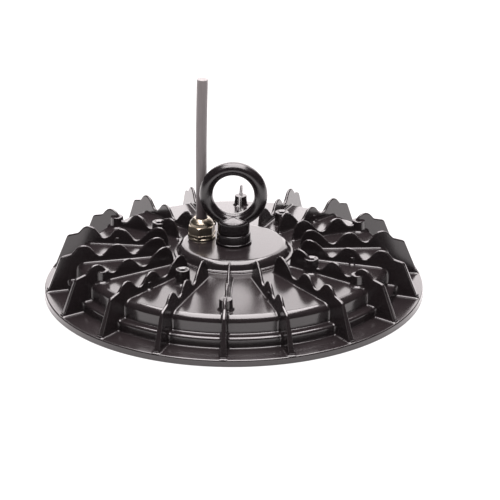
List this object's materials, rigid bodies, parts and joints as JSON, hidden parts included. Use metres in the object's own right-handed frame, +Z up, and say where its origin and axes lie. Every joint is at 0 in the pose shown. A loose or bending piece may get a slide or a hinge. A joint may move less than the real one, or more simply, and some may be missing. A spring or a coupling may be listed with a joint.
{
  "type": "high bay light",
  "caption": "Round slim high bay light: finned black die casting with lifting eye, cable gland, short cable stub and a clear cover over the LEDs underneath.",
  "frame": {"origin": "centre of the rim's underside, on the surface that the light stands on", "axes": "+Z up along the lifting eye's shank; -Y is the front, with one fin on it, and the eye's ring lies in the X-Z plane"},
  "size_m": [0.3, 0.3, 0.17],
  "materials": {
    "black_casting": "semi-gloss black powder coat on die-cast aluminium",
    "black_steel": "gloss black coated forged steel",
    "zinc_steel": "zinc plated",
    "nickel_brass": "nickel plated brass",
    "black_rubber": "matte",
    "cable_sheath": "satin black sheath",
    "core_insulation": "satin",
    "bare_aluminium": "milled",
    "white_board": "white solder mask on aluminium",
    "led_phosphor": "yellow phosphor",
    "green_board": "green solder mask",
    "capacitor_sleeve": "satin",
    "ferrite": "matte",
    "terminal_plastic": "satin",
    "tinned_copper": "tinned",
    "silicone": "matte grey silicone",
    "clear_polycarbonate": "gloss"
  },
  "bodies": {
    "root": {"heatsink_housing": "black_casting", "eye_bolt": "black_steel", "eye_bolt_spacer": "black_steel", "eye_bolt_gasket": "black_rubber", "eye_bolt_spring_washer": "zinc_steel", "eye_bolt_nut": "zinc_steel", "gland_body": "nickel_brass", "gland_o_ring": "black_rubber", "gland_seal_insert": "black_rubber", "gland_clamp_nut": "nickel_brass", "gland_lock_nut": "nickel_brass", "mains_cable": "cable_sheath", "mains_cable_inner": "cable_sheath", "mains_cores": "core_insulation", "base_plate": "bare_aluminium", "base_plate_screws": "zinc_steel", "led_board": "white_board", "led_packages": "led_phosphor", "board_screws": "zinc_steel", "driver_board": "green_board", "driver_spacers": "zinc_steel", "driver_screws": "zinc_steel", "driver_capacitors": "capacitor_sleeve", "driver_transformer": "ferrite", "driver_choke": "ferrite", "driver_terminal": "terminal_plastic", "led_leads": "tinned_copper", "earth_tag": "tinned_copper", "earth_screw": "zinc_steel", "lens_gasket": "silicone", "lens_plate": "clear_polycarbonate", "lens_ring": "zinc_steel", "lens_ring_screws": "zinc_steel"}
  },
  "joints": []
}
